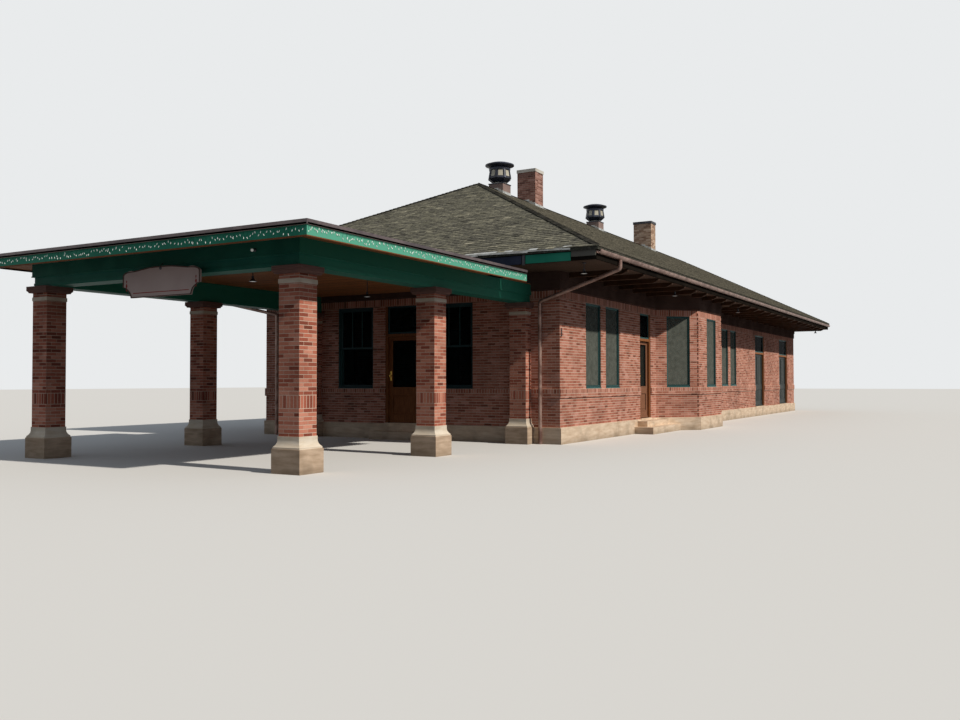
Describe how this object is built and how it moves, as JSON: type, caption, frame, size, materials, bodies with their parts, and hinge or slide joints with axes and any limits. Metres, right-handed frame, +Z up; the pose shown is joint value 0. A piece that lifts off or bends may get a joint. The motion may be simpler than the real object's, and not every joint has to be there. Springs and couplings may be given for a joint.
{
  "type": "railway station building",
  "caption": "One-storey brick railway station with a hipped roof, deep eaves, a splayed bay, opening doors and an open pillared shelter at its near end.",
  "frame": {"origin": "on the ground, in the middle of the whole building's plan", "axes": "+Z up; +Y away along the building's length, from the shelter to the far end; +X to the right, the side with the bay"},
  "size_m": [13.08, 37.695, 8.585],
  "materials": {
    "brick": "matt, sand-struck",
    "stone": "dressed sandstone",
    "floorboards": "worn boards",
    "white_boards": "painted boards",
    "frieze_paint": "old green paint",
    "fascia_paint": "satin paint",
    "soffit_boards": "stained boards",
    "shingles": "asphalt shingles with mineral granules",
    "copper_brown_metal": "weathered brown",
    "zinc": "weathered zinc",
    "brown_timber": "varnished",
    "green_paint": "satin paint",
    "roll_roofing": "mineral-surfaced felt",
    "dark_metal": "satin paint",
    "teal_paint": "satin paint",
    "glass": "clear",
    "brass": "worn",
    "cream_paint": "satin paint"
  },
  "bodies": {
    "building": {"foundation": "stone", "floor": "floorboards", "front_wall": "brick", "right_wall": "brick", "bay_side_walls": "brick", "bay_front_wall": "brick", "rear_wall": "brick", "left_wall": "brick", "door_lintels": "brick", "room_ceiling": "white_boards", "frieze": "frieze_paint", "soffit": "soffit_boards", "eave_fascia": "fascia_paint", "rafter_tails": "soffit_boards", "roof_right": "shingles", "roof_left": "shingles", "roof_near": "shingles", "roof_far": "shingles", "roof_caps": "shingles", "gutters": "copper_brown_metal", "downspouts": "copper_brown_metal", "chimney_stacks": "brick", "chimney_caps": "stone", "ventilator_bases": "shingles", "ventilators": "zinc", "pillar_plinths": "stone", "pillar_stones": "stone", "pillar_shafts": "brick", "pillar_caps": "brown_timber", "shelter_beams": "green_paint", "shelter_ceiling": "soffit_boards", "shelter_fascia": "green_paint", "shelter_roof": "roll_roofing", "shelter_drip_edge": "dark_metal", "window_frames": "teal_paint", "window_sashes": "teal_paint", "window_panes": "glass", "door_frames": "brown_timber", "door_hinges": "dark_metal", "door_sills": "stone", "front_step": "stone", "side_steps": "stone", "sign_board": "cream_paint", "sign_hangers": "dark_metal", "shelter_lamps": "dark_metal", "eave_lamps": "dark_metal"},
    "front_door_leaf": {"front_door": "brown_timber", "front_door_pane": "glass", "front_door_knobs": "brass"},
    "side_door_leaf": {"side_door": "brown_timber", "side_door_pane": "glass", "side_door_knobs": "brass"},
    "baggage_leaf_near": {"baggage_door_near": "teal_paint"},
    "baggage_leaf_far": {"baggage_door_far": "teal_paint"},
    "freight_leaf_near": {"freight_door_near": "teal_paint"},
    "freight_leaf_far": {"freight_door_far": "teal_paint"}
  },
  "joints": [
    {"name": "front_door_leaf_hinge", "type": "hinge", "parent": "building", "child": "front_door_leaf", "pos_m": [1.027, -9.5885, 1.49], "axis": [0, 0, -1], "range_deg": [0, 100]},
    {"name": "side_door_leaf_hinge", "type": "hinge", "parent": "building", "child": "side_door_leaf", "pos_m": [4.772, -3.4645, 1.49], "axis": [0, 0, -1], "range_deg": [0, 100]},
    {"name": "baggage_leaf_near_hinge", "type": "hinge", "parent": "building", "child": "baggage_leaf_near", "pos_m": [4.772, 9.8315, 1.49], "axis": [0, 0, 1], "range_deg": [0, 100]},
    {"name": "baggage_leaf_far_hinge", "type": "hinge", "parent": "building", "child": "baggage_leaf_far", "pos_m": [4.772, 11.4255, 1.49], "axis": [0, 0, -1], "range_deg": [0, 100]},
    {"name": "freight_leaf_near_hinge", "type": "hinge", "parent": "building", "child": "freight_leaf_near", "pos_m": [4.772, 14.6565, 1.49], "axis": [0, 0, 1], "range_deg": [0, 100]},
    {"name": "freight_leaf_far_hinge", "type": "hinge", "parent": "building", "child": "freight_leaf_far", "pos_m": [4.772, 16.4005, 1.49], "axis": [0, 0, -1], "range_deg": [0, 100]}
  ]
}
